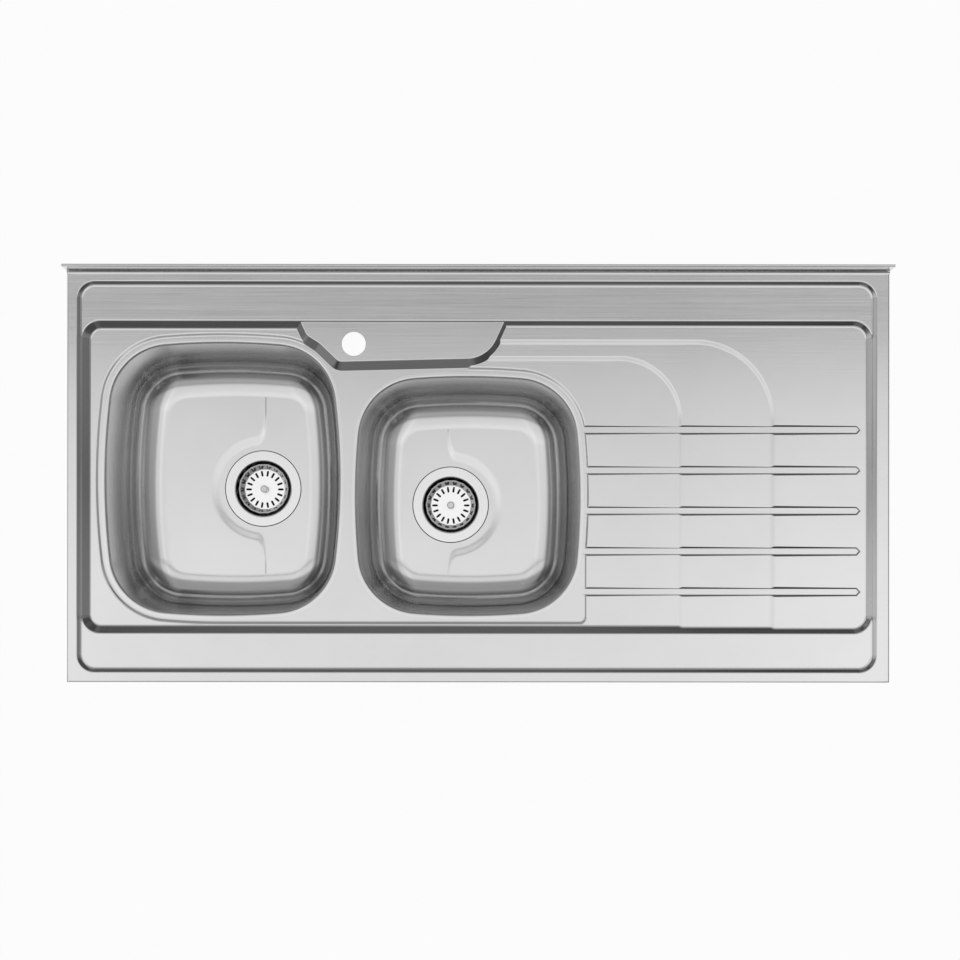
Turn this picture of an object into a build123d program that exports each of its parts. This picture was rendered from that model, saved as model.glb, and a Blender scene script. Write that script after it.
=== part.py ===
from build123d import *
import math
import os

# Top-mount stainless steel sink with two bowls, a tap platform and a grooved drainboard.
# Millimetres. +X runs along the sink to the drainboard, +Y to the wall, +Z up.
# The origin is the middle of the folded edge's underside, where the sink sits on its cabinet.

# Sheet and outer form
deck_length = 1200.0
deck_depth = 600.0
skirt_height = 40.0
sheet = 0.8
skirt_return = 14.0
edge_radius = 2.5
upstand_height = 35.0
upstand_thickness = 4.0
upstand_edge_radius = 1.6
upstand_bend_radius = 4.5

# Rim, ledges and the walls between levels
rim_width = 14.6
drain_end_rim_width = 18.8
ledge_width = 50.8
wall_slope = 1.18
tray_corner = 27.0
tray_foot_corner = 20.0
pocket_corner = 24.0
pocket_foot_corner = 14.0

# Depth of each level below the rim
ledge_drop = 5.0
platform_drop = 5.8
drainboard_drop = 11.3
terrace_step = 1.6
surround_step = 2.0
step_slope = 2.75
surround_slope = 2.0
air_above = 6.0

# Terraces of the drainboard
terrace_count = 3
terrace_rear_setback = 21.0
terrace_rear_pitch = 24.0
terrace_corner = 88.0

# Drain grooves
groove_count = 5
groove_pitch = 59.3
groove_front_margin = 50.1
groove_width = 8.4
groove_wall_angle = 52.0
groove_point = 4.0
groove_end_margin = 6.5
groove_height = 7.0
groove_lead = 6.0
groove_end_depth = 1.4

# Bowls
bowl_depth = 160.0
bowl_corner = 92.0
bowl_side_radius = 1000.0
bowl_draft = 5.5
bowl_floor_radius = 50.0
lip_radius = 4.5
weld_land = 2.0
weld_gap = 0.05
surround_margin = 6.4
surround_side_margin = 3.0
front_strip = 2.0
surround_corner = 7.0
large_bowl_width = 351.0
large_bowl_reach = 406.6
large_bowl_side_margin = 17.4
bowl_gap = 17.0
small_bowl_rear_margin = 3.2
small_bowl_width = 335.5

# Tap platform, between the rear ledge and the bowls
platform_depth = 59.7
platform_wall_angle = 53.0
platform_skew = 5.3
platform_left_overhang = 12.9
platform_shoulder_reach = 46.2
platform_shoulder = 21.2
platform_notch_reach = 27.2
platform_notch = 33.4
platform_right_setback = 139.2
platform_right_flare = 36.5
platform_rear_reach = 67.6
platform_convex_radius = 12.0
platform_concave_radius = 24.0
platform_sweep_radius = 47.0
tap_hole_diameter = 35.0
tap_from_front = 25.7
tap_from_left = 22.2

# Pressed floor and drain seat of a bowl
dish_depth = 1.2
dish_radius = 75.0
dish_wall_angle = 55.0
dish_edge_margin = 6.0
large_drain_offset = 40.0
small_drain_offset = -28.0
drain_from_bowl_middle = -5.0
drain_hole_diameter = 90.0
seat_diameter = 119.5
flange_proud = 0.3

# Basket waste
flange_diameter = 116.5
cup_sheet = 1.0
cup_mouth_diameter = 85.0
cup_floor_diameter = 78.0
cup_depth = 36.0
cup_mouth_radius = 3.5
cup_holes = 8
cup_hole_diameter = 10.0
cup_hole_circle = 36.0
dimple_diameter = 18.0
dimple_depth = 6.0
flange_gasket_thickness = 1.5
body_gasket_thickness = 2.5
gasket_inset = 1.0
gasket_width = 10.0

# Outlet body and its centre screw
body_wall = 3.0
body_flange_thickness = 4.0
body_cup_clearance = 1.0
outlet_diameter = 47.8
outlet_length = 28.0
funnel_height = 14.0
spider_gap = 0.3
spider_ribs = 3
spider_rib_width = 4.0
spider_rib_height = 7.0
hub_diameter = 18.0
hub_height = 14.0
screw_diameter = 6.0
screw_head_diameter = 11.0
screw_head_height = 3.5
screw_slot_width = 1.4
screw_slot_depth = 1.6
screw_hole_clearance = 0.3
thread_clearance = 0.1
screw_end = 4.0
nut_flats = 10.0
nut_height = 5.0
nut_pocket_clearance = 0.1

# Lift-out basket
basket_sheet = 0.8
basket_sides = 18
basket_floor_diameter = 64.0
basket_rim_diameter = 77.6
basket_height = 18.0
basket_rim_width = 1.4
basket_lift = 10.0
slot_length = 9.0
slot_width = 3.2
slot_circle = 50.0
stopper_diameter = 54.0
stopper_thickness = 3.0
stopper_lip = 1.2
stopper_gap = 0.3
stem_diameter = 6.0
stem_shoulder_diameter = 9.0
stem_fit = 0.05
knob_diameter = 11.0
knob_height = 9.0
knob_neck_diameter = 8.0
knob_neck_height = 5.0
knob_edge_radius = 1.5
rivet_height = 1.4

# Sound-deadening pads
pad_thickness = 2.0
large_pad_size = (50.0, 190.0)
small_pad_size = (34.0, 160.0)
pad_corner = 8.0
pad_dish_margin = 10.0
board_pad_size = (84.0, 38.0)

# Cabinet brackets
bracket_thickness = 2.0
bracket_width = 40.0
bracket_drop = 42.0
bracket_corner_margin = 90.0
bracket_hole_diameter = 5.0
bracket_hole_margin = 14.0
bracket_gap = 0.3

# Levels and outlines that follow from the sizes above
rim_z = skirt_height
lowest_drop = drainboard_drop + (terrace_count - 1) * terrace_step + surround_step
surround_z = rim_z - lowest_drop
first_terrace_z = surround_z + surround_step
platform_z = rim_z - platform_drop
half_length = deck_length / 2
half_depth = deck_depth / 2
tray_half_x = half_length - (rim_width + drain_end_rim_width) / 2
tray_middle_x = (rim_width - drain_end_rim_width) / 2
tray_half_y = half_depth - rim_width
ledge_edge_y = tray_half_y - wall_slope * ledge_drop - ledge_width
pocket_half_y = ledge_edge_y + wall_slope * ledge_drop
floor_half_x = tray_half_x - wall_slope * (lowest_drop - surround_step)
floor_left = tray_middle_x - floor_half_x
floor_right = tray_middle_x + floor_half_x
floor_half_y = pocket_half_y - wall_slope * (lowest_drop - surround_step)
step_run = terrace_step * step_slope
surround_run = surround_step * surround_slope

large_left = floor_left + large_bowl_side_margin
large_x = large_left + large_bowl_width / 2
small_left = large_left + large_bowl_width + bowl_gap
small_x = small_left + small_bowl_width / 2
small_right = small_left + small_bowl_width
bowl_front = -floor_half_y + front_strip + surround_run + surround_margin
large_y = bowl_front + large_bowl_reach / 2
platform_front_y = ledge_edge_y - platform_depth
platform_wall_run = (lowest_drop - platform_drop) * math.tan(math.radians(platform_wall_angle))
small_rear = platform_front_y - platform_wall_run - small_bowl_rear_margin
small_bowl_reach = small_rear - bowl_front
small_y = bowl_front + small_bowl_reach / 2
surround_right = small_right + surround_margin

platform_left = small_left - bowl_gap / 2 - platform_left_overhang
tap_x = platform_left + tap_from_left
tap_y = platform_front_y + tap_from_front

floor_z = surround_z - bowl_depth
seat_drop = flange_gasket_thickness + cup_sheet - flange_proud
seat_z = floor_z - dish_depth - seat_drop
flange_top_z = seat_z + flange_gasket_thickness + cup_sheet
bowl_under_z = seat_z - sheet
cup_floor_z = flange_top_z - cup_depth
dimple_z = cup_floor_z - dimple_depth
body_top_z = bowl_under_z - body_gasket_thickness
hub_top_z = dimple_z - cup_sheet - spider_gap
hub_end_z = hub_top_z - hub_height
funnel_z = hub_top_z - spider_rib_height
outlet_z = funnel_z - funnel_height
outlet_end_z = outlet_z - outlet_length
stopper_z = cup_floor_z + stopper_gap
basket_z = stopper_z + stopper_thickness + basket_lift
large_drain = (large_x + large_drain_offset, large_y + drain_from_bowl_middle)
small_drain = (small_x + small_drain_offset, small_y + drain_from_bowl_middle)
body_inner_radius = cup_mouth_diameter / 2 + cup_sheet + body_cup_clearance
outlet_bore_radius = outlet_diameter / 2 - body_wall
gasket_outer_radius = flange_diameter / 2 - gasket_inset
gasket_inner_radius = gasket_outer_radius - gasket_width


def tapered_box(half_sizes, corners, levels):
    """A rounded box in the middle of the tray whose walls lean from the lower level to the upper one."""
    with BuildPart() as box:
        for (half_x, half_y), corner, z in zip(half_sizes, corners, levels):
            with BuildSketch(Plane((tray_middle_x, 0, z))):
                RectangleRounded(2 * half_x, 2 * half_y, corner)
        loft(ruled=True)
    return box.part


def bowl_outline(width, reach, grow):
    """The plan of a bowl mouth: four bulged sides with round corners, grown on every side."""
    radius = bowl_side_radius + grow
    inset_x = width / 2 + grow - radius
    inset_y = reach / 2 + grow - radius
    span = math.hypot(inset_x, inset_y)
    along = math.sqrt(radius**2 - (span / 2) ** 2)
    corner_x = inset_x / 2 - along * inset_y / span
    corner_y = inset_y / 2 - along * inset_x / span
    with BuildSketch() as outline:
        with BuildLine():
            ThreePointArc((corner_x, corner_y), (0, reach / 2 + grow), (-corner_x, corner_y))
            ThreePointArc((-corner_x, corner_y), (-width / 2 - grow, 0), (-corner_x, -corner_y))
            ThreePointArc((-corner_x, -corner_y), (0, -reach / 2 - grow), (corner_x, -corner_y))
            ThreePointArc((corner_x, -corner_y), (width / 2 + grow, 0), (corner_x, corner_y))
        make_face()
        fillet(outline.vertices(), radius=bowl_corner + grow)
    return outline.sketch


def bowl_frustum(place, width, reach, grows, levels):
    """A solid between two grown bowl outlines at two levels."""
    with BuildPart() as frustum:
        for grow, z in zip(grows, levels):
            with BuildSketch(Plane((place[0], place[1], z))):
                add(bowl_outline(width, reach, grow))
        loft(ruled=True)
    return frustum.part


def plan_frustum(low, high, levels, run, corner, corner_index):
    """A rectangular pressing with one rounded corner, wider by run at its upper level."""
    with BuildPart() as frustum:
        for grow, z in zip((0, run), levels):
            with BuildSketch(Plane.XY.offset(z)) as region:
                with Locations(((low[0] + high[0]) / 2, (low[1] + high[1]) / 2)):
                    Rectangle(high[0] - low[0] + 2 * grow, high[1] - low[1] + 2 * grow)
                chosen = region.vertices().group_by(Axis.X)[-1].sort_by(Axis.Y)[corner_index]
                fillet(chosen, radius=corner + grow)
        loft(ruled=True)
    return frustum.part


def air_over_tray(lowered):
    """The space above the two ledges, inside the rim."""
    foot = wall_slope * ledge_drop
    flare = wall_slope * air_above
    return tapered_box(
        ((tray_half_x - foot, tray_half_y - foot), (tray_half_x + flare, tray_half_y + flare)),
        (tray_foot_corner, tray_corner + flare),
        (rim_z - ledge_drop - lowered, rim_z + air_above - lowered),
    )


def air_over_pocket(lowered):
    """The space between the ledges, down to the lowest level."""
    foot = wall_slope * lowest_drop
    flare = wall_slope * air_above
    return tapered_box(
        ((tray_half_x - foot, pocket_half_y - foot), (tray_half_x + flare, pocket_half_y + flare)),
        (pocket_foot_corner, pocket_corner + flare),
        (surround_z - lowered, rim_z + air_above - lowered),
    )


def air_over_terraces(lowered):
    """The space above the terraces, the floor left of the platform and the low surround."""
    top = rim_z + 2 * air_above
    board_length = floor_right - surround_right
    with BuildPart() as air:
        with BuildSketch(Plane.XY.offset(rim_z - drainboard_drop - lowered)):
            Rectangle(deck_length, deck_depth)
        extrude(amount=top - rim_z + drainboard_drop)
        for step in range(1, terrace_count):
            lower = rim_z - drainboard_drop - step * terrace_step - lowered
            terrace_right = surround_right + board_length * (terrace_count - step) / terrace_count
            setback = terrace_rear_setback + (step - 1) * terrace_rear_pitch
            rear = floor_half_y - setback
            corner = terrace_corner + (terrace_count - 1 - step) * terrace_rear_pitch
            low, high = (-half_length, -half_depth), (terrace_right, rear)
            add(plan_frustum(low, high, (lower, lower + terrace_step), step_run, corner, -1))
        with BuildSketch(Plane.XY.offset(first_terrace_z - lowered)):
            with Locations(((tap_x - half_length) / 2, 0)):
                Rectangle(tap_x + half_length, deck_depth)
        extrude(amount=top - first_terrace_z)
        levels = (surround_z - lowered, first_terrace_z - lowered)
        grows = (surround_margin, surround_margin + surround_run)
        add(bowl_frustum((large_x, large_y), large_bowl_width, large_bowl_reach, grows, levels))
        add(bowl_frustum((small_x, small_y), small_bowl_width, small_bowl_reach, grows, levels))
        front = bowl_front - surround_margin
        between = (large_x, front), (small_x, ledge_edge_y - platform_notch)
        add(plan_frustum(*between, levels, surround_run, surround_corner, -1))
        corner_low = (large_x, front)
        corner_high = (small_right + surround_side_margin, small_y)
        add(plan_frustum(corner_low, corner_high, levels, surround_run, surround_corner, 0))
    return air.part


def platform_outline():
    """The plan of the tap platform, from behind the ledge's edge to its front edge."""
    rear = ledge_edge_y + ledge_width / 2
    right = small_right - platform_right_setback
    corners = (
        (platform_left - platform_rear_reach, rear),
        (platform_left - platform_shoulder_reach, ledge_edge_y - platform_shoulder),
        (platform_left - platform_notch_reach, ledge_edge_y - platform_notch),
        (platform_left, platform_front_y),
        (right, platform_front_y + platform_skew),
        (right + platform_right_flare, rear),
    )
    with BuildSketch() as outline:
        with BuildLine():
            Polyline(*corners, close=True)
        make_face()
        front = outline.vertices().filter_by(lambda v: v.Y < ledge_edge_y).sort_by(Axis.X)
        shoulder, notch, front_left, front_right = front
        fillet([shoulder, front_left], radius=platform_convex_radius)
        fillet(outline.vertices().sort_by_distance(notch.center())[0], radius=platform_concave_radius)
        fillet(outline.vertices().sort_by_distance(front_right.center())[0], radius=platform_sweep_radius)
    return outline.sketch


def platform_island(lowered):
    """The raised platform with its sloping flanks, down past the lowest level."""
    with BuildPart() as island:
        with BuildSketch(Plane.XY.offset(platform_z - lowered)):
            add(platform_outline())
        extrude(amount=platform_drop - lowest_drop - sheet, taper=-platform_wall_angle)
    return island.part


def grooves(lowered):
    """Channels that fall from the far end of the drainboard to the level of the surround."""
    start_x = surround_right - groove_lead
    end_x = floor_right - groove_end_margin
    fall = (lowest_drop - drainboard_drop - groove_end_depth) / (end_x - surround_right)
    start_z = surround_z - groove_lead * fall - lowered
    length = (end_x - start_x) * math.hypot(1, fall)
    with BuildPart() as channels:
        for row in range(groove_count):
            y = -floor_half_y + groove_front_margin + row * groove_pitch
            slant = Plane((start_x, y, start_z), x_dir=(1, 0, fall), z_dir=(-fall, 0, 1))
            with BuildSketch(slant):
                half = groove_width / 2
                with BuildLine():
                    Polyline(
                        (0, -half),
                        (length - groove_point, -half),
                        (length, 0),
                        (length - groove_point, half),
                        (0, half),
                        close=True,
                    )
                make_face()
            extrude(amount=groove_height, taper=-groove_wall_angle)
    return channels.part


def air_over_deck(lowered):
    """All the space above the pressed surface, moved down by the given amount."""
    with BuildPart() as air:
        add(air_over_terraces(lowered))
        add(grooves(lowered))
        add(air_over_pocket(lowered), mode=Mode.INTERSECT)
        add(platform_island(lowered), mode=Mode.SUBTRACT)
        add(air_over_tray(lowered))
    return air.part


def hollow_under_deck():
    """The space inside the folded edges and under the pressed surface."""
    back = half_depth + upstand_thickness
    with BuildPart() as hollow:
        with BuildSketch(Plane.XY.offset(sheet)):
            with Locations((0, upstand_thickness / 2)):
                Rectangle(deck_length - 2 * sheet, deck_depth + upstand_thickness - 2 * sheet)
        extrude(amount=rim_z - 2 * sheet)
        rolled = hollow.edges().group_by(Axis.Z)[-1]
        fillet(rolled.filter_by(lambda e: e.center().Y < half_depth), radius=edge_radius - sheet)
        with BuildSketch(Plane.XY.offset(rim_z - 2 * sheet)):
            with Locations((0, back - upstand_thickness / 2)):
                Rectangle(deck_length - 2 * sheet, upstand_thickness - 2 * sheet)
        extrude(amount=upstand_height + sheet)
        with BuildSketch():
            with Locations((0, upstand_thickness / 2)):
                Rectangle(
                    deck_length - 2 * skirt_return,
                    deck_depth + upstand_thickness - 2 * skirt_return,
                )
        extrude(amount=sheet)
        add(air_over_deck(sheet), mode=Mode.SUBTRACT)
    return hollow.part


def make_deck():
    """The pressed sheet with its folded edges, upstand, bowl openings and tap hole."""
    with BuildPart() as deck:
        with BuildSketch():
            with Locations((0, upstand_thickness / 2)):
                Rectangle(deck_length, deck_depth + upstand_thickness)
        extrude(amount=rim_z)
        rolled = deck.edges().group_by(Axis.Z)[-1]
        fillet(rolled.filter_by(lambda e: e.center().Y < half_depth), radius=edge_radius)
        with BuildSketch(Plane.XY.offset(rim_z)):
            with Locations((0, half_depth + upstand_thickness / 2)):
                Rectangle(deck_length, upstand_thickness)
        extrude(amount=upstand_height)
        fillet(deck.edges().group_by(Axis.Z)[-1].filter_by(Axis.X), radius=upstand_edge_radius)
        with BuildSketch(Plane.YZ):
            with Locations((half_depth - upstand_bend_radius, rim_z)):
                Rectangle(upstand_bend_radius, upstand_bend_radius, align=(Align.MIN, Align.MIN))
            with Locations((half_depth - upstand_bend_radius, rim_z + upstand_bend_radius)):
                Circle(upstand_bend_radius, mode=Mode.SUBTRACT)
        extrude(amount=half_length - edge_radius, both=True)
        add(air_over_deck(0), mode=Mode.SUBTRACT)
        add(hollow_under_deck(), mode=Mode.SUBTRACT)
        for x, y, width, reach in (
            (large_x, large_y, large_bowl_width, large_bowl_reach),
            (small_x, small_y, small_bowl_width, small_bowl_reach),
        ):
            with BuildSketch(Plane((x, y, surround_z + sheet))):
                add(bowl_outline(width, reach, weld_land + weld_gap))
            extrude(amount=-3 * sheet, mode=Mode.SUBTRACT)
        with Locations((tap_x, tap_y, platform_z)):
            Hole(tap_hole_diameter / 2, depth=2 * sheet)
    deck.part.label = "sink_deck"
    return deck.part


def dish_form(place, width, reach, drain, side, top):
    """The lower half of a bowl floor on the drain's side, with a round bay about the drain."""
    inset = bowl_floor_radius + dish_edge_margin + math.tan(math.radians(bowl_draft)) * bowl_depth
    run = dish_depth * math.tan(math.radians(dish_wall_angle))
    with BuildPart() as dish:
        for grow, z in ((0, top - dish_depth), (run, top)):
            with BuildSketch(Plane((drain[0] + side * (width - grow), place[1], z))):
                Rectangle(2 * width, 2 * reach)
        loft(ruled=True)
        with Locations((drain[0], drain[1], top)):
            Cone(dish_radius, dish_radius + run, dish_depth, align=(Align.CENTER, Align.CENTER, Align.MAX))
        floor = bowl_frustum(place, width, reach, (-inset, run - inset), (top - dish_depth, top))
        add(floor, mode=Mode.INTERSECT)
    return dish.part


def bowl_form(place, width, reach, drain, side, wall):
    """The bowl as a solid block: its inside for no wall, or its outside for the sheet's wall."""
    lean = math.tan(math.radians(bowl_draft)) * bowl_depth
    bottom = floor_z - wall
    with BuildPart() as form:
        for grow, z in ((wall - lip_radius, surround_z), (wall - lip_radius - lean, bottom)):
            with BuildSketch(Plane((place[0], place[1], z))):
                add(bowl_outline(width, reach, grow))
        loft(ruled=True)
        fillet(form.edges().group_by(Axis.Z)[0], radius=bowl_floor_radius + wall)
        add(dish_form(place, width, reach, drain, side, bottom))
        with Locations((drain[0], drain[1], seat_z - wall)):
            Cylinder(
                seat_diameter / 2 + wall,
                dish_depth + seat_drop + wall,
                align=(Align.CENTER, Align.CENTER, Align.MIN),
            )
    return form.part


def make_bowl(name, place, width, reach, drain, side):
    """One drawn bowl with its rolled lip, pressed floor and drain seat."""
    with BuildPart() as bowl:
        add(bowl_form(place, width, reach, drain, side, sheet))
        with BuildSketch(Plane((place[0], place[1], surround_z - sheet))):
            add(bowl_outline(width, reach, weld_land))
        extrude(amount=sheet)
        under = bowl.faces().filter_by(GeomType.PLANE).sort_by(Axis.Z)[-2]
        fillet(under.inner_wires()[0].edges(), radius=lip_radius - sheet)
        add(bowl_form(place, width, reach, drain, side, 0), mode=Mode.SUBTRACT)
        mouth = bowl.faces().filter_by(GeomType.PLANE).sort_by(Axis.Z)[-1].inner_wires()[0]
        fillet(mouth.edges(), radius=lip_radius)
        with Locations((drain[0], drain[1], seat_z)):
            Hole(drain_hole_diameter / 2, depth=2 * sheet)
    bowl.part.label = name
    return bowl.part


def ring(name, place, inner_radius, outer_radius, low_z, thickness):
    """A flat ring about a drain's axis."""
    with BuildPart() as flat_ring:
        with BuildSketch(Plane((place[0], place[1], low_z))):
            Circle(outer_radius)
            Circle(inner_radius, mode=Mode.SUBTRACT)
        extrude(amount=thickness)
    flat_ring.part.label = name
    return flat_ring.part


def turning_plane(place):
    """The upright plane through a drain's axis, with radius to the right and height upwards."""
    return Plane((place[0], place[1], 0), x_dir=(1, 0, 0), z_dir=(0, -1, 0))


def turning_axis(place):
    """The upright axis of a drain."""
    return Axis((place[0], place[1], 0), (0, 0, 1))


def make_strainer_cup(name, place):
    """The bright flange and cup, with a dimple for the screw and a ring of outlet holes."""
    flange = flange_diameter / 2
    mouth = cup_mouth_diameter / 2
    floor = cup_floor_diameter / 2
    dimple = dimple_diameter / 2
    screw = screw_diameter / 2 + screw_hole_clearance
    with BuildPart() as cup:
        with BuildSketch(turning_plane(place)) as profile:
            with BuildLine():
                Polyline(
                    (flange, flange_top_z),
                    (mouth, flange_top_z),
                    (floor, cup_floor_z),
                    (dimple, cup_floor_z),
                    (dimple, dimple_z),
                    (screw, dimple_z),
                    (screw, dimple_z - cup_sheet),
                    (dimple + cup_sheet, dimple_z - cup_sheet),
                    (dimple + cup_sheet, cup_floor_z - cup_sheet),
                    (floor + cup_sheet, cup_floor_z - cup_sheet),
                    (mouth + cup_sheet, flange_top_z - cup_sheet),
                    (flange, flange_top_z - cup_sheet),
                    close=True,
                )
            make_face()
            upper = (mouth, flange_top_z)
            lower = (mouth + cup_sheet, flange_top_z - cup_sheet)
            fillet(profile.vertices().sort_by_distance(upper)[0], radius=cup_mouth_radius)
            fillet(profile.vertices().sort_by_distance(lower)[0], radius=cup_mouth_radius - cup_sheet)
        revolve(axis=turning_axis(place))
        with Locations((place[0], place[1], cup_floor_z)):
            with PolarLocations(cup_hole_circle / 2, cup_holes):
                Hole(cup_hole_diameter / 2, depth=2 * cup_sheet)
    cup.part.label = name
    return cup.part


def make_waste_body(name, place):
    """The moulded outlet: flange, chamber, funnel and tube, with a spider that holds the nut."""
    flange = flange_diameter / 2
    with BuildPart() as body:
        with BuildSketch(turning_plane(place)):
            with BuildLine():
                Polyline(
                    (body_inner_radius, body_top_z),
                    (body_inner_radius, funnel_z),
                    (outlet_bore_radius, outlet_z),
                    (outlet_bore_radius, outlet_end_z),
                    (outlet_diameter / 2, outlet_end_z),
                    (outlet_diameter / 2, outlet_z - body_wall),
                    (body_inner_radius + body_wall, funnel_z - body_wall),
                    (body_inner_radius + body_wall, body_top_z - body_flange_thickness),
                    (flange, body_top_z - body_flange_thickness),
                    (flange, body_top_z),
                    close=True,
                )
            make_face()
        revolve(axis=turning_axis(place))
        with BuildSketch(Plane((place[0], place[1], funnel_z))):
            with PolarLocations(0, spider_ribs):
                Rectangle(
                    body_inner_radius + body_wall / 2,
                    spider_rib_width,
                    align=(Align.MIN, Align.CENTER),
                )
        extrude(amount=spider_rib_height)
        with BuildSketch(Plane((place[0], place[1], hub_end_z))):
            Circle(hub_diameter / 2)
        extrude(amount=hub_height)
        with BuildSketch(Plane((place[0], place[1], hub_end_z))):
            Circle(screw_diameter / 2 + screw_hole_clearance)
        extrude(amount=hub_height, mode=Mode.SUBTRACT)
        with BuildSketch(Plane((place[0], place[1], hub_end_z))):
            RegularPolygon(nut_flats / 2 + nut_pocket_clearance, 6, major_radius=False)
        extrude(amount=nut_height, mode=Mode.SUBTRACT)
    body.part.label = name
    return body.part


def make_waste_nut(name, place):
    """The brass nut in the spider's pocket."""
    with BuildPart() as nut:
        with BuildSketch(Plane((place[0], place[1], hub_end_z))):
            RegularPolygon(nut_flats / 2, 6, major_radius=False)
            Circle(screw_diameter / 2 + thread_clearance, mode=Mode.SUBTRACT)
        extrude(amount=nut_height)
    nut.part.label = name
    return nut.part


def make_waste_screw(name, place):
    """The slotted screw that draws the cup and the outlet body together."""
    with BuildPart() as screw:
        with BuildSketch(Plane((place[0], place[1], hub_end_z - screw_end))):
            Circle(screw_diameter / 2)
        extrude(amount=dimple_z - hub_end_z + screw_end)
        with BuildSketch(Plane((place[0], place[1], dimple_z))):
            Circle(screw_head_diameter / 2)
        extrude(amount=screw_head_height)
        with BuildSketch(Plane((place[0], place[1], dimple_z + screw_head_height))):
            Rectangle(screw_head_diameter, screw_slot_width)
        extrude(amount=-screw_slot_depth, mode=Mode.SUBTRACT)
    screw.part.label = name
    return screw.part


def make_basket(name, place):
    """The many-sided strainer basket with radial slots in its floor and a turned-out rim."""
    floor = basket_floor_diameter / 2
    rim = basket_rim_diameter / 2
    wall = rim - basket_rim_width
    top_z = basket_z + basket_height
    with BuildPart() as basket:
        for radius, z in ((floor, basket_z), (wall, top_z)):
            with BuildSketch(Plane((place[0], place[1], z))):
                RegularPolygon(radius, basket_sides)
        loft(ruled=True)
        with BuildSketch(Plane((place[0], place[1], top_z - basket_sheet))):
            RegularPolygon(rim, basket_sides)
        extrude(amount=basket_sheet)
    with BuildPart() as inside:
        for radius, z in ((floor - basket_sheet, basket_z + basket_sheet), (wall - basket_sheet, top_z)):
            with BuildSketch(Plane((place[0], place[1], z))):
                RegularPolygon(radius, basket_sides)
        loft(ruled=True)
    with BuildPart() as slotted:
        add(basket.part)
        add(inside.part, mode=Mode.SUBTRACT)
        with BuildSketch(Plane((place[0], place[1], basket_z))):
            Circle(stem_diameter / 2 + stem_fit)
            with PolarLocations(slot_circle / 2, basket_sides):
                SlotOverall(slot_length, slot_width)
        extrude(amount=basket_sheet, mode=Mode.SUBTRACT)
    slotted.part.label = name
    return slotted.part


def make_basket_knob(name, place):
    """The knob, its neck, the spacer under the basket and the riveted end below the stopper."""
    stem = stem_diameter / 2
    shoulder = stem_shoulder_diameter / 2
    floor_top = basket_z + basket_sheet
    stopper_top = stopper_z + stopper_thickness
    knob_z = floor_top + knob_neck_height
    with BuildPart() as knob:
        with BuildSketch(turning_plane(place)):
            with BuildLine():
                Polyline(
                    (0, stopper_z - rivet_height),
                    (shoulder, stopper_z - rivet_height),
                    (shoulder, stopper_z),
                    (stem, stopper_z),
                    (stem, stopper_top),
                    (shoulder, stopper_top),
                    (shoulder, basket_z),
                    (stem, basket_z),
                    (stem, floor_top),
                    (knob_neck_diameter / 2, floor_top),
                    (knob_neck_diameter / 2, knob_z),
                    (knob_diameter / 2, knob_z),
                    (knob_diameter / 2, knob_z + knob_height),
                    (0, knob_z + knob_height),
                    close=True,
                )
            make_face()
        revolve(axis=turning_axis(place))
        crown = knob.edges().group_by(Axis.Z)[-1]
        fillet(crown, radius=knob_edge_radius)
    knob.part.label = name
    return knob.part


def make_stopper(name, place):
    """The rubber disc under the basket, with a thin lip that seals on the cup's floor."""
    rim = stopper_diameter / 2
    hole = stem_diameter / 2 + stem_fit
    top_z = stopper_z + stopper_thickness
    with BuildPart() as stopper:
        with BuildSketch(turning_plane(place)):
            with BuildLine():
                Polyline(
                    (hole, stopper_z),
                    (rim, stopper_z),
                    (rim, stopper_z + stopper_lip),
                    (rim - stopper_thickness, top_z),
                    (hole, top_z),
                    close=True,
                )
            make_face()
        revolve(axis=turning_axis(place))
    stopper.part.label = name
    return stopper.part


def make_pad(name, middle, size, top_z):
    """A round-cornered pad stuck to the sheet above it."""
    with BuildPart() as pad:
        with BuildSketch(Plane((middle[0], middle[1], top_z - pad_thickness))):
            RectangleRounded(size[0], size[1], pad_corner)
        extrude(amount=pad_thickness)
    pad.part.label = name
    return pad.part


def make_board_pads():
    """One pad under each terrace of the drainboard, between two grooves."""
    board_length = floor_right - surround_right
    middle_y = -floor_half_y + groove_front_margin + (groove_count // 2 + 0.5) * groove_pitch
    with BuildPart() as pads:
        for terrace in range(terrace_count):
            x = surround_right + board_length * (terrace + 0.5) / terrace_count
            under = first_terrace_z + terrace * terrace_step - sheet
            with BuildSketch(Plane((x, middle_y, under - pad_thickness))):
                RectangleRounded(board_pad_size[0], board_pad_size[1], pad_corner)
            extrude(amount=pad_thickness)
    pads.part.label = "drainboard_pads"
    return pads.part


def make_bracket(name, side, y):
    """An angle bracket that hooks over the folded return and hangs inside the cabinet's side."""
    hook = half_length - sheet - bracket_gap
    leg = half_length - skirt_return - bracket_gap
    foot = -bracket_drop
    with BuildPart() as bracket:
        with BuildSketch(Plane((0, y, 0), x_dir=(side, 0, 0), z_dir=(0, -side, 0))):
            with BuildLine():
                Polyline(
                    (hook, sheet),
                    (hook, sheet + bracket_thickness),
                    (leg - bracket_thickness, sheet + bracket_thickness),
                    (leg - bracket_thickness, foot),
                    (leg, foot),
                    (leg, sheet),
                    close=True,
                )
            make_face()
        extrude(amount=bracket_width / 2, both=True)
        with BuildSketch(Plane((side * leg, y, foot + bracket_hole_margin), z_dir=(side, 0, 0))):
            Circle(bracket_hole_diameter / 2)
        extrude(amount=-bracket_thickness, mode=Mode.SUBTRACT)
    bracket.part.label = name
    return bracket.part


os.makedirs("parts", exist_ok=True)

export_step(make_deck(), "parts/sink_deck.step")
export_step(make_board_pads(), "parts/drainboard_pads.step")

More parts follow.
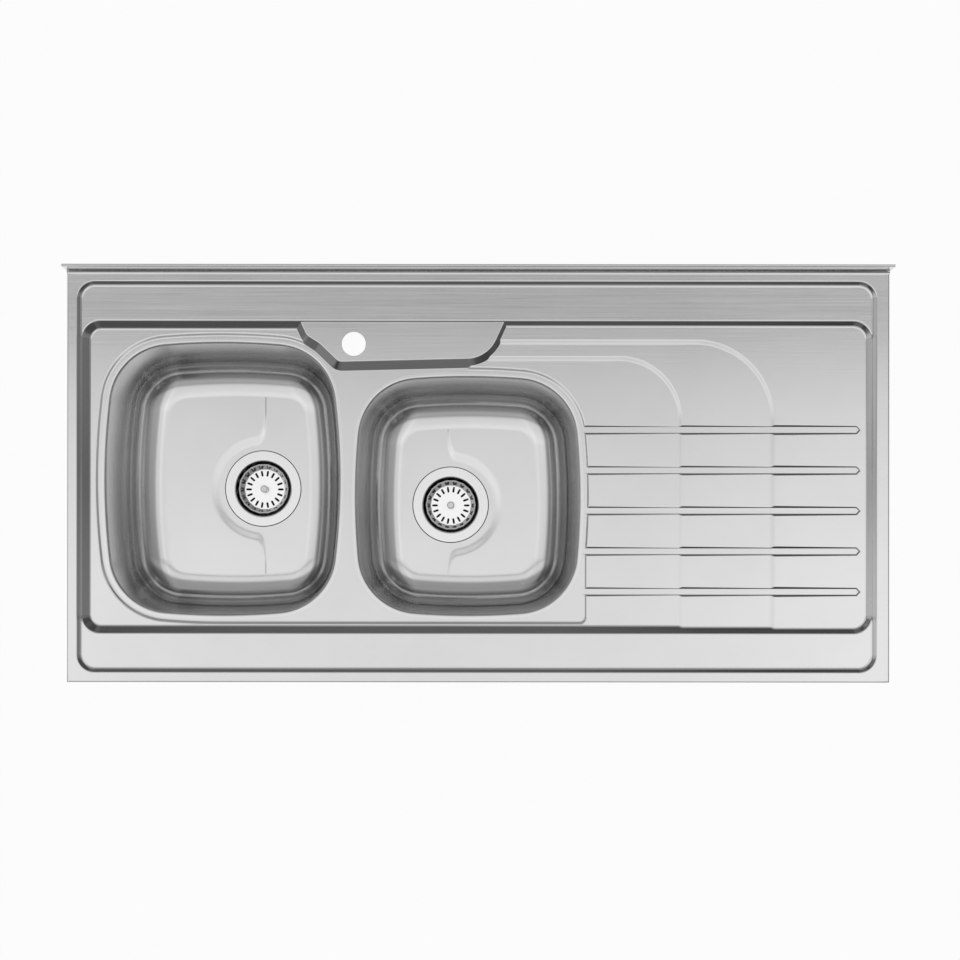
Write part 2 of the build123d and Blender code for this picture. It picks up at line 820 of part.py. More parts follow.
bracket_y = half_depth - bracket_corner_margin
for name, side, y in (
    ("front_left_bracket", -1, -bracket_y),
    ("rear_left_bracket", -1, bracket_y),
    ("front_right_bracket", 1, -bracket_y),
    ("rear_right_bracket", 1, bracket_y),
):
    export_step(make_bracket(name, side, y), f"parts/{name}.step")

for size_name, place, width, reach, drain, side, pad_size in (
    ("large", (large_x, large_y), large_bowl_width, large_bowl_reach, large_drain, 1, large_pad_size),
    ("small", (small_x, small_y), small_bowl_width, small_bowl_reach, small_drain, -1, small_pad_size),
):
    pad_x = drain[0] - side * (dish_radius + pad_dish_margin + pad_size[0] / 2)
    gasket = gasket_inner_radius, gasket_outer_radius
    pieces = (
        make_bowl(f"{size_name}_bowl", place, width, reach, drain, side),
        make_pad(f"{size_name}_sound_pad", (pad_x, place[1]), pad_size, floor_z - sheet),
        make_strainer_cup(f"{size_name}_strainer_cup", drain),
        ring(f"{size_name}_flange_gasket", drain, *gasket, seat_z, flange_gasket_thickness),
        ring(f"{size_name}_body_gasket", drain, *gasket, body_top_z, body_gasket_thickness),
        make_waste_body(f"{size_name}_waste_body", drain),
        make_waste_nut(f"{size_name}_waste_nut", drain),
        make_waste_screw(f"{size_name}_waste_screw", drain),
        make_basket(f"{size_name}_basket", drain),
        make_basket_knob(f"{size_name}_basket_knob", drain),
        make_stopper(f"{size_name}_stopper", drain),
    )
    for piece in pieces:
        export_step(piece, f"parts/{piece.label}.step")
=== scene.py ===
import math

import bpy
import numpy as np
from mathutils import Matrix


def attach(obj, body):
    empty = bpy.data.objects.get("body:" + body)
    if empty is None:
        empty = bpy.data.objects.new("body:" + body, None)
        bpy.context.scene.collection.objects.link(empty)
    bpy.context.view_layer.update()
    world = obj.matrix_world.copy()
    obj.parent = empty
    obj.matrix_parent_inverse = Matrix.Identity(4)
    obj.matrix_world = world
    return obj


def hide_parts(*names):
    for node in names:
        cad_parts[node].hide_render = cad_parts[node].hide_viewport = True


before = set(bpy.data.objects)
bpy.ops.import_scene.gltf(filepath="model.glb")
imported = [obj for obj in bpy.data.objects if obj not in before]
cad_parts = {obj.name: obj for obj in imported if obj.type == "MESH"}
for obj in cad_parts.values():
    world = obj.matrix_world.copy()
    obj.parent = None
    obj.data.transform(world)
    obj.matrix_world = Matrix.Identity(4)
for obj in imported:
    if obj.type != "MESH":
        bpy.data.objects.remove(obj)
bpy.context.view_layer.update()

# Sizes are in millimetres and follow the CAD model, except that the tap platform lies 1 mm lower, so that
# its edge to the rear ledge shows. x runs along the sink to the drainboard, y to the wall, z up from the
# cabinet's top edges. Heights of pressed faces count from the rim, and slopes are run over fall.

# Sheet, skirt and rear upstand
SHEET = 0.8
HALF_X, HALF_Y, RIM_Z = 600.0, 300.0, 40.0
RETURN, FOOT_R, EDGE_R = 14.0, 1.2, 2.5
UPSTAND, UPSTAND_THICK, UPSTAND_R, BEND_R = 35.0, 4.0, 1.6, 4.5

# Tray and pocket: two corners of each outline and its corner radius
TRAY = ((-585.4, -285.4), (581.2, 285.4), 26.0)
POCKET = ((-585.4, -234.6), (581.2, 234.6), 33.0)
LEDGE_Y = 228.7
WALL = 1.18
LEDGE, PLATFORM, BOARD, LOWEST = -5.0, -6.8, -11.3, -16.5

# Drainboard and its terraces
FLOOR_RIGHT, FLOOR_Y = 564.09, 217.49
TERRACES, STEP, STEP_SLOPE = 3, 1.6, 2.75
TERRACE_SETBACK, TERRACE_PITCH, TERRACE_CORNER = 21.0, 24.0, 88.0

# Sunk surround of the bowls
SURROUND_RIGHT, SURROUND_MARGIN, SURROUND_SIDE = 159.01, 6.4, 3.0
SURROUND_SLOPE, SURROUND_CORNER = 2.0, 7.0
FRONT_STRIP_Y = -205.09 - SURROUND_MARGIN
SMALL_RIGHT = 152.61
SURROUND_Z = RIM_Z + LOWEST

# Drain grooves, which are pointed at the right
GROOVES, GROOVE_PITCH, GROOVE_FIRST = 5, 59.3, -167.39
GROOVE_HALF, GROOVE_POINT, GROOVE_SIDE, GROOVE_END = 4.2, 4.0, 1.28, 1.4
GROOVE_LEFT, GROOVE_RIGHT = SURROUND_RIGHT - 6.0, FLOOR_RIGHT - 6.5

# Bowls; "side" is 1 where the floor is dished to the right of the drain, and -1 to the left
LARGE = {"at": (-375.39, -1.79), "size": (351.0, 406.6), "drain": (-335.39, -6.79), "side": 1}
SMALL = {"at": (-15.14, -26.745), "size": (335.5, 356.691), "drain": (-43.14, -31.745), "side": -1}
BOWL_CORNER, SIDE_R = 92.0, 1000.0
BOWL_DEPTH, DRAFT, FLOOR_R, LIP_R = 160.0, math.radians(5.5), 50.0, 4.5
HOLE_GROW, FLANGE_GROW = 2.05, 2.6
FLOOR_Z = SURROUND_Z - BOWL_DEPTH

# Bowl floor with its dish, crease and drain seat
DISH, DISH_R, DISH_SHIFT = 1.2, 75.0, 4.0
CREASE_RUN, BAY_RUN, CREASE_BLEND = 5.0, 15.0, 3.0
SEAT_R, SEAT_DROP, DRAIN_R = 59.75, 2.2, 45.0

# Tap hole (x, y, radius) and tap platform
TAP = (-182.09, 194.7, 17.5)
PLATFORM_SLOPE = 1.327
PLATFORM_LEFT, PLATFORM_RIGHT = -204.29, SMALL_RIGHT - 139.2
PLATFORM_FRONT, PLATFORM_BEND, PLATFORM_REAR = 169.0, LEDGE_Y - 33.4, LEDGE_Y + 25.4

# How softly neighbouring faces run into each other
TRAY_BLEND, POCKET_BLEND, BASIN_BLEND, RIM_BLEND = 1.8, 1.5, 1.0, 0.8
STEP_BLEND, GROOVE_BLEND, ISLAND_BLEND = 0.5, 0.4, 0.3


def soft_min(a, b, blend):
    """The lower of two heights, rounded where they meet."""
    near = np.maximum(blend - np.abs(a - b), 0.0)
    return np.minimum(a, b) - near * near / (4.0 * blend)


def soft_max(a, b, blend):
    """The higher of two heights, rounded where they meet."""
    return -soft_min(-a, -b, blend)


def smooth_step(share):
    """Rises softly from 0 to 1."""
    share = np.clip(share, 0.0, 1.0)
    return share * share * (3.0 - 2.0 * share)


def corner_distance(qx, qy, corner):
    """Signed distance to a rounded corner, from how far a point lies past the start of its rounding."""
    outside = np.hypot(np.maximum(qx, 0.0), np.maximum(qy, 0.0))
    return outside + np.minimum(np.maximum(qx, qy), 0.0) - corner


def box_distance(x, y, low, high, corner):
    """Signed distance to a rectangle with round corners."""
    qx = np.abs(x - (low[0] + high[0]) / 2) - (high[0] - low[0]) / 2 + corner
    qy = np.abs(y - (low[1] + high[1]) / 2) - (high[1] - low[1]) / 2 + corner
    return corner_distance(qx, qy, corner)


def quarter_distance(x, y, right, rear, corner):
    """Signed distance to all that lies left of one line and in front of another, with a round corner."""
    return corner_distance(x - right + corner, y - rear + corner, corner)


def bowl_distance(x, y, bowl):
    """Signed distance to a bowl's mouth, which has four bulged sides and round corners."""
    radius = SIDE_R - BOWL_CORNER
    back_x = radius - (bowl["size"][0] / 2 - BOWL_CORNER)
    back_y = radius - (bowl["size"][1] / 2 - BOWL_CORNER)
    span = math.hypot(back_x, back_y)
    along = math.sqrt(radius**2 - (span / 2) ** 2)
    tip_x = -back_x / 2 + along * back_y / span
    tip_y = -back_y / 2 + along * back_x / span
    px = np.abs(x - bowl["at"][0])
    py = np.abs(y - bowl["at"][1])
    side = np.hypot(px + back_x, py) - radius
    end = np.hypot(px, py + back_y) - radius
    on_side = py * (tip_x + back_x) <= tip_y * (px + back_x)
    on_end = px * (tip_y + back_y) <= tip_x * (py + back_y)
    tip = np.hypot(px - tip_x, py - tip_y)
    distance = np.where(on_side, side, np.where(on_end, end, tip))
    return np.where(on_side & on_end, np.maximum(side, end), distance) - BOWL_CORNER


def both_bowls_distance(x, y):
    """Signed distance to the nearer bowl's mouth."""
    return np.minimum(bowl_distance(x, y, LARGE), bowl_distance(x, y, SMALL))


def rounded_outline(corners, radii):
    """Points of a polygon whose corners are rounded."""
    points = []
    count = len(corners)
    for i, radius in enumerate(radii):
        here = np.array(corners[i])
        back = np.array(corners[i - 1]) - here
        ahead = np.array(corners[(i + 1) % count]) - here
        if radius == 0:
            points.append(here)
            continue
        back /= np.linalg.norm(back)
        ahead /= np.linalg.norm(ahead)
        half = math.acos(np.clip(back @ ahead, -1, 1)) / 2
        middle = (back + ahead) / np.linalg.norm(back + ahead)
        centre = here + middle * radius / math.sin(half)
        first = here + back * radius / math.tan(half) - centre
        last = here + ahead * radius / math.tan(half) - centre
        turn = math.atan2(first[0] * last[1] - first[1] * last[0], first @ last)
        for share in np.linspace(0, 1, 21):
            c, s = math.cos(turn * share), math.sin(turn * share)
            points.append(centre + (c * first[0] - s * first[1], s * first[0] + c * first[1]))
    return np.array(points)


PLATFORM_OUTLINE = rounded_outline(
    (
        (PLATFORM_LEFT - 67.6, PLATFORM_REAR),
        (PLATFORM_LEFT - 46.2, LEDGE_Y - 21.2),
        (PLATFORM_LEFT - 27.2, PLATFORM_BEND),
        (PLATFORM_LEFT, PLATFORM_FRONT),
        (PLATFORM_RIGHT, PLATFORM_FRONT + 5.3),
        (PLATFORM_RIGHT + 36.5, PLATFORM_REAR),
    ),
    (0, 12.0, 24.0, 12.0, 47.0, 0),
)


def platform_distance(x, y):
    """Signed distance to the tap platform's outline."""
    far = 60.0
    distance = np.full(x.shape, far)
    low, high = PLATFORM_OUTLINE.min(0) - far / 2, PLATFORM_OUTLINE.max(0) + far / 2
    near = (x > low[0]) & (x < high[0]) & (y > low[1]) & (y < high[1])
    px, py = x[near], y[near]
    nearest = np.full(px.shape, far)
    inside = np.zeros(px.shape, bool)
    for a, b in zip(PLATFORM_OUTLINE, np.roll(PLATFORM_OUTLINE, -1, axis=0)):
        run = b - a
        share = np.clip(((px - a[0]) * run[0] + (py - a[1]) * run[1]) / (run @ run), 0, 1)
        nearest = np.minimum(nearest, np.hypot(px - a[0] - share * run[0], py - a[1] - share * run[1]))
        if a[1] != b[1]:
            crosses = (a[1] > py) != (b[1] > py)
            inside ^= crosses & (px < a[0] + (py - a[1]) * run[0] / run[1])
    distance[near] = np.where(inside, -nearest, nearest)
    return distance


def board_height(x, y):
    """Height of the drainboard's terraces, the lowest of which ends at the tap hole."""
    height = np.full(x.shape, BOARD)
    for step in range(1, TERRACES):
        low = BOARD - STEP * step
        right = SURROUND_RIGHT + (FLOOR_RIGHT - SURROUND_RIGHT) * (TERRACES - step) / TERRACES
        rear = FLOOR_Y - TERRACE_SETBACK - TERRACE_PITCH * (step - 1)
        corner = TERRACE_CORNER + TERRACE_PITCH * (TERRACES - 1 - step)
        ramp = low + quarter_distance(x, y, right, rear, corner) / STEP_SLOPE
        height = soft_min(height, soft_max(ramp, low, STEP_BLEND), STEP_BLEND)
    last = BOARD - (TERRACES - 1) * STEP
    left = last + (x - TAP[0]) / STEP_SLOPE
    return np.minimum(height, soft_max(left, last, STEP_BLEND))


def surround_height(x, y):
    """Height of the sunk surround of the bowls and of its sides carried on upwards."""
    front_left = (LARGE["at"][0], FRONT_STRIP_Y)
    between = box_distance(x, y, front_left, (SMALL["at"][0], PLATFORM_BEND), SURROUND_CORNER)
    right = SMALL_RIGHT + SURROUND_SIDE
    front = box_distance(x, y, front_left, (right, SMALL["at"][1]), SURROUND_CORNER)
    around = both_bowls_distance(x, y) - SURROUND_MARGIN
    ramp = LOWEST + np.minimum(around, np.minimum(between, front)) / SURROUND_SLOPE
    return soft_max(ramp, LOWEST, STEP_BLEND)


def groove_height(x, y, row):
    """Height of a drain groove, which falls to the bowls, and of its sides carried on upwards."""
    away = np.abs(y - GROOVE_FIRST - GROOVE_PITCH * row)
    point = (x - GROOVE_RIGHT) * GROOVE_HALF + away * GROOVE_POINT
    point = point / math.hypot(GROOVE_HALF, GROOVE_POINT)
    side = np.maximum(np.maximum(away - GROOVE_HALF, point), GROOVE_LEFT - x)
    rise = (BOARD - GROOVE_END - LOWEST) / (GROOVE_RIGHT - SURROUND_RIGHT)
    bottom = LOWEST + rise * (x - SURROUND_RIGHT)
    return soft_max(bottom, bottom + side / GROOVE_SIDE, GROOVE_BLEND)


def deck_height(x, y):
    """Height of the pressed deck above the rim."""
    tray = soft_max(box_distance(x, y, *TRAY) / WALL, LEDGE, TRAY_BLEND)
    pocket = box_distance(x, y, *POCKET) / WALL
    floor = soft_min(board_height(x, y), surround_height(x, y), STEP_BLEND)
    for row in range(GROOVES):
        floor = soft_min(floor, groove_height(x, y, row), GROOVE_BLEND)
    island = soft_min(PLATFORM, PLATFORM - platform_distance(x, y) / PLATFORM_SLOPE, STEP_BLEND)
    basin = soft_max(soft_max(pocket, floor, POCKET_BLEND), island, ISLAND_BLEND)
    return soft_min(0.0, soft_min(tray, basin, BASIN_BLEND), RIM_BLEND)


def deck_keep(x, y):
    """Positive where the deck has metal: outside the bowl openings and the tap hole."""
    bowls = both_bowls_distance(x, y) - HOLE_GROW
    return np.minimum(bowls, np.hypot(x - TAP[0], y - TAP[1]) - TAP[2])


class Skin:
    """Points, normals and faces of a piece while it is made, in millimetres."""

    def __init__(self):
        self.points = []
        self.normals = []
        self.faces = []
        self.count = 0

    def add(self, points, normals):
        """Adds points and returns their numbers."""
        self.points.append(np.asarray(points, float))
        self.normals.append(np.asarray(normals, float))
        self.count += len(points)
        return np.arange(self.count - len(points), self.count)

    def strip(self, rows, closed):
        """Joins rows of points by quads, each row to the right of the one before."""
        for a, b in zip(rows, rows[1:]):
            columns = len(a) if closed else len(a) - 1
            for i in range(columns):
                j = (i + 1) % len(a)
                self.faces.append((int(a[j]), int(a[i]), int(b[i]), int(b[j])))

    def sweep(self, edge, start, way, profile, last, closed, sag=0.0):
        """Sweeps a profile of (offset, z, normal) along plan directions, from an edge to a last row.

        The sag lowers the profile where it comes to the bowl's floor.
        """
        rows = [edge]
        for offset, z, normal in profile:
            sunk = sag * smooth_step(1.0 - (z - FLOOR_Z) / FLOOR_R)
            points = np.column_stack((start + way * offset, np.full(len(start), z) + sunk))
            level = np.full(len(start), normal[1])
            unit = way / np.linalg.norm(way, axis=1)[:, None]
            rows.append(self.add(points, np.column_stack((unit * normal[0], level))))
        self.strip(rows + [last], closed)

    def make(self, name):
        """The finished object."""
        mesh = bpy.data.meshes.new(name)
        points = np.concatenate(self.points) / 1000.0
        normals = np.concatenate(self.normals)
        normals /= np.linalg.norm(normals, axis=1)[:, None]
        mesh.from_pydata(points.tolist(), [], self.faces)
        mesh.polygons.foreach_set("use_smooth", np.ones(len(mesh.polygons), bool))
        mesh.normals_split_custom_set_from_vertices(normals.tolist())
        piece = bpy.data.objects.new(name, mesh)
        bpy.context.scene.collection.objects.link(piece)
        return piece


def split_cells(low, high, base, height, keep, tolerance, edge_cell):
    """Splits a rectangle into cells until the height is straight enough in each, on a fine lattice.

    Each cell is probed on seven lines both ways. The lines at its tips see how much the slope bends there.
    """
    unit, tip, bend = 64, 0.02, 0.06
    pitch = (np.array(high) - low) / (np.array(base) * unit)
    i, j = np.meshgrid(np.arange(base[0]), np.arange(base[1]), indexing="ij")
    corner = np.column_stack((i.ravel(), j.ravel())) * unit
    cells = np.hstack((corner, corner + unit))
    done = []
    while len(cells):
        size = (cells[:, 2:] - cells[:, :2]) * pitch
        start = np.zeros(len(cells))
        quarters = [start + quarter for quarter in (0.25, 0.5, 0.75)]
        share = [np.column_stack((start, tip / s, *quarters, 1 - tip / s, start + 1)) for s in size.T]
        at_x = low[0] + pitch[0] * cells[:, :1] + size[:, :1] * share[0]
        at_y = low[1] + pitch[1] * cells[:, 1:2] + size[:, 1:] * share[1]
        x, y = np.broadcast_arrays(at_x[:, :, None], at_y[:, None, :])
        z = height(x, y)
        left = keep(x, y)
        bows = []
        for values, along in ((z, share[0]), (z.transpose(0, 2, 1), share[1])):
            bow = values - values[:, :1] - (values[:, -1:] - values[:, :1]) * along[:, :, None]
            ends = np.maximum(np.abs(bow[:, 1]), np.abs(bow[:, -2])).max(1) / along[:, 1]
            bows.append(np.maximum(np.abs(bow).max((1, 2)) / tolerance, ends / bend))
        lowest, highest = left.min((1, 2)), left.max((1, 2))
        edge = (lowest < 0) & (highest > 0)
        need_x = np.maximum(bows[0], edge * size[:, 0] / edge_cell)
        need_y = np.maximum(bows[1], edge * size[:, 1] / edge_cell)
        need_x[cells[:, 2] - cells[:, 0] == 1] = 0
        need_y[cells[:, 3] - cells[:, 1] == 1] = 0
        wanted = highest > -np.hypot(*size.T)
        whole = wanted & (np.maximum(need_x, need_y) <= 1)
        done.append(cells[whole])
        split = wanted & ~whole
        across = split & (need_x >= need_y)
        along = split & ~across
        first, second = cells[across].copy(), cells[across].copy()
        first[:, 2] = second[:, 0] = (cells[across][:, 0] + cells[across][:, 2]) // 2
        third, fourth = cells[along].copy(), cells[along].copy()
        third[:, 3] = fourth[:, 1] = (cells[along][:, 1] + cells[along][:, 3]) // 2
        cells = np.concatenate((first, second, third, fourth))
    return np.concatenate(done), pitch


def cell_outlines(cells):
    """Outlines of the cells, with the other cells' corners that lie on their sides, and all the corners."""
    corners = np.concatenate((cells[:, [0, 1]], cells[:, [2, 1]], cells[:, [2, 3]], cells[:, [0, 3]]))
    corners = np.unique(corners, axis=0)
    number = {(a, b): n for n, (a, b) in enumerate(corners.tolist())}
    columns, rows = {}, {}
    for a, b in number:
        columns.setdefault(a, []).append(b)
        rows.setdefault(b, []).append(a)
    columns = {a: np.sort(v) for a, v in columns.items()}
    rows = {b: np.sort(v) for b, v in rows.items()}

    def between(line, first, last):
        return line[np.searchsorted(line, first) : np.searchsorted(line, last)].tolist()

    outlines = []
    for x0, y0, x1, y1 in cells.tolist():
        outline = [number[a, y0] for a in between(rows[y0], x0, x1)]
        outline += [number[x1, b] for b in between(columns[x1], y0, y1)]
        outline += [number[a, y1] for a in between(rows[y1], x0 + 1, x1 + 1)[::-1]]
        outline += [number[x0, b] for b in between(columns[x0], y0 + 1, y1 + 1)[::-1]]
        outlines.append(outline)
    return outlines, corners


def clip_outlines(outlines, plan, keep):
    """Cuts the outlines where keep changes sign and drops what lies beyond."""
    value = keep(plan[:, 0], plan[:, 1])
    cuts, kept = {}, []
    for outline in outlines:
        inside = [value[n] > 0 for n in outline]
        if all(inside):
            kept.append(outline)
            continue
        if not any(inside):
            continue
        shape = []
        for k, n in enumerate(outline):
            if inside[k - 1] != inside[k]:
                pair = (outline[k - 1], n) if inside[k - 1] else (n, outline[k - 1])
                shape.append(cuts.setdefault(pair, len(plan) + len(cuts)))
            if inside[k]:
                shape.append(n)
        kept.append(shape)
    ends = np.array(list(cuts)).reshape(-1, 2)
    good, bad = plan[ends[:, 0]], plan[ends[:, 1]]
    for _ in range(30):
        middle = (good + bad) / 2
        inside = (keep(middle[:, 0], middle[:, 1]) > 0)[:, None]
        good = np.where(inside, middle, good)
        bad = np.where(inside, bad, middle)
    return kept, np.concatenate((plan, good))


def edge_loops(outlines):
    """Closed rings of the sides that only one outline has, in the outlines' direction."""
    sides = {(a, b) for o in outlines for a, b in zip(o, o[1:] + o[:1])}
    ahead = {a: b for a, b in sides if (b, a) not in sides}
    loops = []
    while ahead:
        start, here = next(iter(ahead.items()))
        del ahead[start]
        loop = [start]
        while here != start:
            loop.append(here)
            here = ahead.pop(here)
        loops.append(np.array(loop))
    return loops


def slope_normals(height, x, y):
    """Upward normals of a height field."""
    d = 0.02
    fall_x = (height(x + d, y) - height(x - d, y)) / (2 * d)
    fall_y = (height(x, y + d) - height(x, y - d)) / (2 * d)
    return np.column_stack((-fall_x, -fall_y, np.ones(len(x))))


def ring_area(plan):
    """Area inside a closed ring of plan points."""
    x, y = plan.T
    return abs((x * np.roll(y, -1) - y * np.roll(x, -1)).sum() / 2)


def press(skin, low, high, base, height, keep, tolerance, edge_cell, level):
    """Adds a pressed sheet with both its faces.

    Returns its edges from the largest ring to the smallest: plan points, upper and lower numbers.
    """
    cells, pitch = split_cells(low, high, base, height, keep, tolerance, edge_cell)
    outlines, corners = cell_outlines(cells)
    outlines, plan = clip_outlines(outlines, np.array(low) + corners * pitch, keep)
    used = np.unique(np.concatenate([np.array(o) for o in outlines]))
    number = np.zeros(len(plan), int)
    number[used] = np.arange(len(used))
    plan = plan[used]
    outlines = [number[o].tolist() for o in outlines]
    x, y = plan.T
    points = np.column_stack((x, y, level + height(x, y)))
    normals = slope_normals(height, x, y)
    upper = skin.add(points, normals)
    lower = skin.add(points - (0, 0, SHEET), -normals)
    skin.faces += [tuple(upper[o].tolist()) for o in outlines]
    skin.faces += [tuple(lower[o[::-1]].tolist()) for o in outlines]
    edges = [(plan[loop], upper[loop], lower[loop]) for loop in edge_loops(outlines)]
    return sorted(edges, key=lambda edge: -ring_area(edge[0]))


def arc(centre, radius, first, last, count, sign):
    """Profile points on an arc between two angles in degrees, with normals from (1) or to (-1) its centre."""
    profile = []
    for angle in np.radians(np.linspace(first, last, count)):
        c, s = math.cos(angle), math.sin(angle)
        profile.append((centre[0] + radius * c, centre[1] + radius * s, (sign * c, sign * s)))
    return profile


def folded_foot(reach):
    """Profile of the return at the bottom of a fold that reaches out so far, from its inner edge up again."""
    foot = [(reach - RETURN, 0.0, (0, -1)), (reach - RETURN, SHEET, (0, 1))]
    return foot + [(reach - FOOT_R, SHEET, (0, 1)), (reach - SHEET, FOOT_R, (-1, 0))]


def make_deck():
    """The pressed deck with its folded edges and upstand."""
    skin = Skin()
    low, high = (-HALF_X + EDGE_R, -HALF_Y + EDGE_R), (HALF_X - EDGE_R, HALF_Y - BEND_R)
    edges = press(skin, low, high, (74, 37), deck_height, deck_keep, 0.04, 4.0, RIM_Z)
    for plan, upper, lower in edges[1:]:
        skin.strip([upper, lower], True)
    plan, upper, lower = edges[0]
    first = int(np.argmin(np.hypot(plan[:, 0] - low[0], plan[:, 1] - high[1])))
    plan, upper, lower = (np.roll(a, -first, axis=0) for a in (plan, upper, lower))
    corner = int(np.argmin(np.hypot(plan[:, 0] - high[0], plan[:, 1] - high[1])))

    def lengthened(order, ends):
        """Plan points and upper and lower numbers of an edge, with one more flat point at both ends."""
        rows = [np.concatenate((ends[:1], plan[order], ends[1:]))]
        for row, z, way in ((upper, RIM_Z, 1), (lower, RIM_Z - SHEET, -1)):
            more = [skin.add([(*end, z)], [(0, 0, way)]) for end in ends]
            rows.append(np.concatenate((more[0], row[order], more[1])))
        return rows

    side = plan[: corner + 1]
    at_left, at_right = (np.isclose(side[:, 0], x) for x in (low[0], high[0]))
    way_x = np.where(at_left, -1.0, np.where(at_right, 1.0, 0.0))
    way_y = np.where(np.isclose(side[:, 1], low[1]), -1.0, 0.0)
    way = np.concatenate(([(-1.0, 0.0)], np.column_stack((way_x, way_y)), [(1.0, 0.0)]))
    skirt = arc((0, RIM_Z - EDGE_R), EDGE_R, 75, 0, 6, 1)
    skirt += arc((EDGE_R - FOOT_R, FOOT_R), FOOT_R, 0, -90, 4, 1)
    skirt += folded_foot(EDGE_R)
    skirt += arc((0, RIM_Z - EDGE_R), EDGE_R - SHEET, 0, 75, 4, -1)
    ends = np.array([(-high[0], HALF_Y), (high[0], HALF_Y)])
    start, top, bottom = lengthened(np.arange(corner + 1), ends)
    skin.sweep(top, start, way, skirt, bottom, False)

    back = BEND_R + UPSTAND_THICK
    top_z = RIM_Z + UPSTAND
    profile = arc((0, RIM_Z + BEND_R), BEND_R, -75, 0, 5, -1)
    profile += arc((BEND_R + UPSTAND_R, top_z - UPSTAND_R), UPSTAND_R, 180, 90, 5, 1)
    profile += arc((back - UPSTAND_R, top_z - UPSTAND_R), UPSTAND_R, 90, 0, 5, 1)
    profile += arc((back - FOOT_R, FOOT_R), FOOT_R, 0, -90, 4, 1)
    section = [(offset, z) for offset, z, _ in profile]
    profile += folded_foot(back)
    profile += [(back - SHEET, top_z - UPSTAND_R, (-1, 0)), (back - UPSTAND_R, top_z - SHEET, (0, -1))]
    profile += [(BEND_R + UPSTAND_R, top_z - SHEET, (0, -1))]
    profile += [(BEND_R + SHEET, top_z - UPSTAND_R, (1, 0))]
    profile += arc((0, RIM_Z + BEND_R), BEND_R + SHEET, 0, -75, 4, 1)
    ends = np.array([(HALF_X, high[1]), (-HALF_X, high[1])])
    start, top, bottom = lengthened(np.r_[corner : len(plan), 0], ends)
    skin.sweep(top, start, np.tile((0.0, 1.0), (len(start), 1)), profile, bottom, False)

    section = [(0.0, RIM_Z)] + section
    section += [(BEND_R, 0.0), (BEND_R, RIM_Z - EDGE_R), (0.0, RIM_Z - EDGE_R)]
    for s in (-1, 1):
        cap = [(s * HALF_X, high[1] + offset, z) for offset, z in section]
        ids = skin.add(cap, [(s, 0, 0)] * len(cap)).tolist()
        skin.faces.append(tuple(ids[::-1] if s > 0 else ids))
    return skin.make("deck_sheet")


def make_bowl(name, bowl):
    """A drawn bowl with its rolled lip, creased floor and drain seat."""
    skin = Skin()
    lean = math.tan(DRAFT) * BOWL_DEPTH
    foot = FLOOR_R * math.tan(math.pi / 4 - DRAFT / 2)
    inset = LIP_R + lean + foot
    drain = bowl["drain"]

    def height(x, y):
        half = (bowl["side"] * (drain[0] - x) + DISH_SHIFT) / CREASE_RUN
        bay = (np.hypot(x - drain[0], y - drain[1]) - DISH_R) / BAY_RUN
        return -DISH * smooth_step(0.5 - soft_min(half, bay, CREASE_BLEND))

    def keep(x, y):
        seat = np.hypot(x - drain[0], y - drain[1]) - SEAT_R
        return np.minimum(-bowl_distance(x, y, bowl) - inset, seat)

    reach = np.array(bowl["size"]) / 2 - inset + 1.0
    low, high = np.array(bowl["at"]) - reach, np.array(bowl["at"]) + reach
    outer_edge, drain_edge = press(skin, low, high, (16, 18), height, keep, 0.02, 2.5, FLOOR_Z)

    plan, upper, lower = outer_edge
    x, y = plan.T
    d = 0.01
    way = np.column_stack((bowl_distance(x + d, y, bowl), bowl_distance(x, y + d, bowl)))
    way = way - bowl_distance(x, y, bowl)[:, None]
    way /= np.linalg.norm(way, axis=1)[:, None]
    raise_lip = 0.02
    lip_at = (inset - LIP_R + LIP_R * math.tan(math.pi / 4 - DRAFT / 2), SURROUND_Z - LIP_R + raise_lip)
    turn = math.degrees(DRAFT)
    inner = arc((0, FLOOR_Z + FLOOR_R), FLOOR_R, -83, -turn, 14, -1)
    inner += arc(lip_at, LIP_R, 180 - turn, 90, 9, 1)
    inner.append((inset + FLANGE_GROW, SURROUND_Z + raise_lip, (0, 1)))
    outer = [(o - n[0] * SHEET, z - n[1] * SHEET, (-n[0], -n[1])) for o, z, n in reversed(inner)]
    skin.sweep(upper, plan, way, inner + outer, lower, True, height(x, y))

    plan, upper, lower = drain_edge
    way = (np.array(drain) - plan) / SEAT_R
    top, seat, hole = FLOOR_Z - DISH, FLOOR_Z - DISH - SEAT_DROP, SEAT_R - DRAIN_R
    profile = [(0.25, top - 0.15, (0.6, 0.8)), (0.5, top - 0.6, (0.95, 0.3))]
    profile += [(0.6, seat + 0.5, (1, 0.1)), (1.0, seat, (0.5, 0.9))]
    profile += [(hole, seat, (0, 1)), (hole, seat - SHEET, (0, -1))]
    profile += [(0.6, seat - SHEET, (0, -1)), (0.0, seat, (-1, -0.2))]
    skin.sweep(upper, plan, way, profile, lower, True)
    return skin.make(name)


def adder(tree):
    """A helper that adds a node with its values and links to a node tree."""

    def add(kind, links=None, **values):
        node = tree.nodes.new(kind)
        for key, value in values.items():
            if key in node.inputs:
                node.inputs[key].default_value = value
            else:
                setattr(node, key, value)
        for key, source in (links or {}).items():
            tree.links.new(source, node.inputs[key])
        return node

    return add


def nodes_of(name):
    """A new material, its node tree, its shader and the tree's adder."""
    material = bpy.data.materials.new(name)
    material.use_nodes = True
    tree = material.node_tree
    return material, tree, tree.nodes["Principled BSDF"], adder(tree)


def multiplied(add, a, b):
    """Two colours multiplied."""
    mix = add("ShaderNodeMix", {"A": a, "B": b}, data_type="RGBA", blend_type="MULTIPLY")
    mix.inputs["Factor"].default_value = 1.0
    return mix.outputs["Result"]


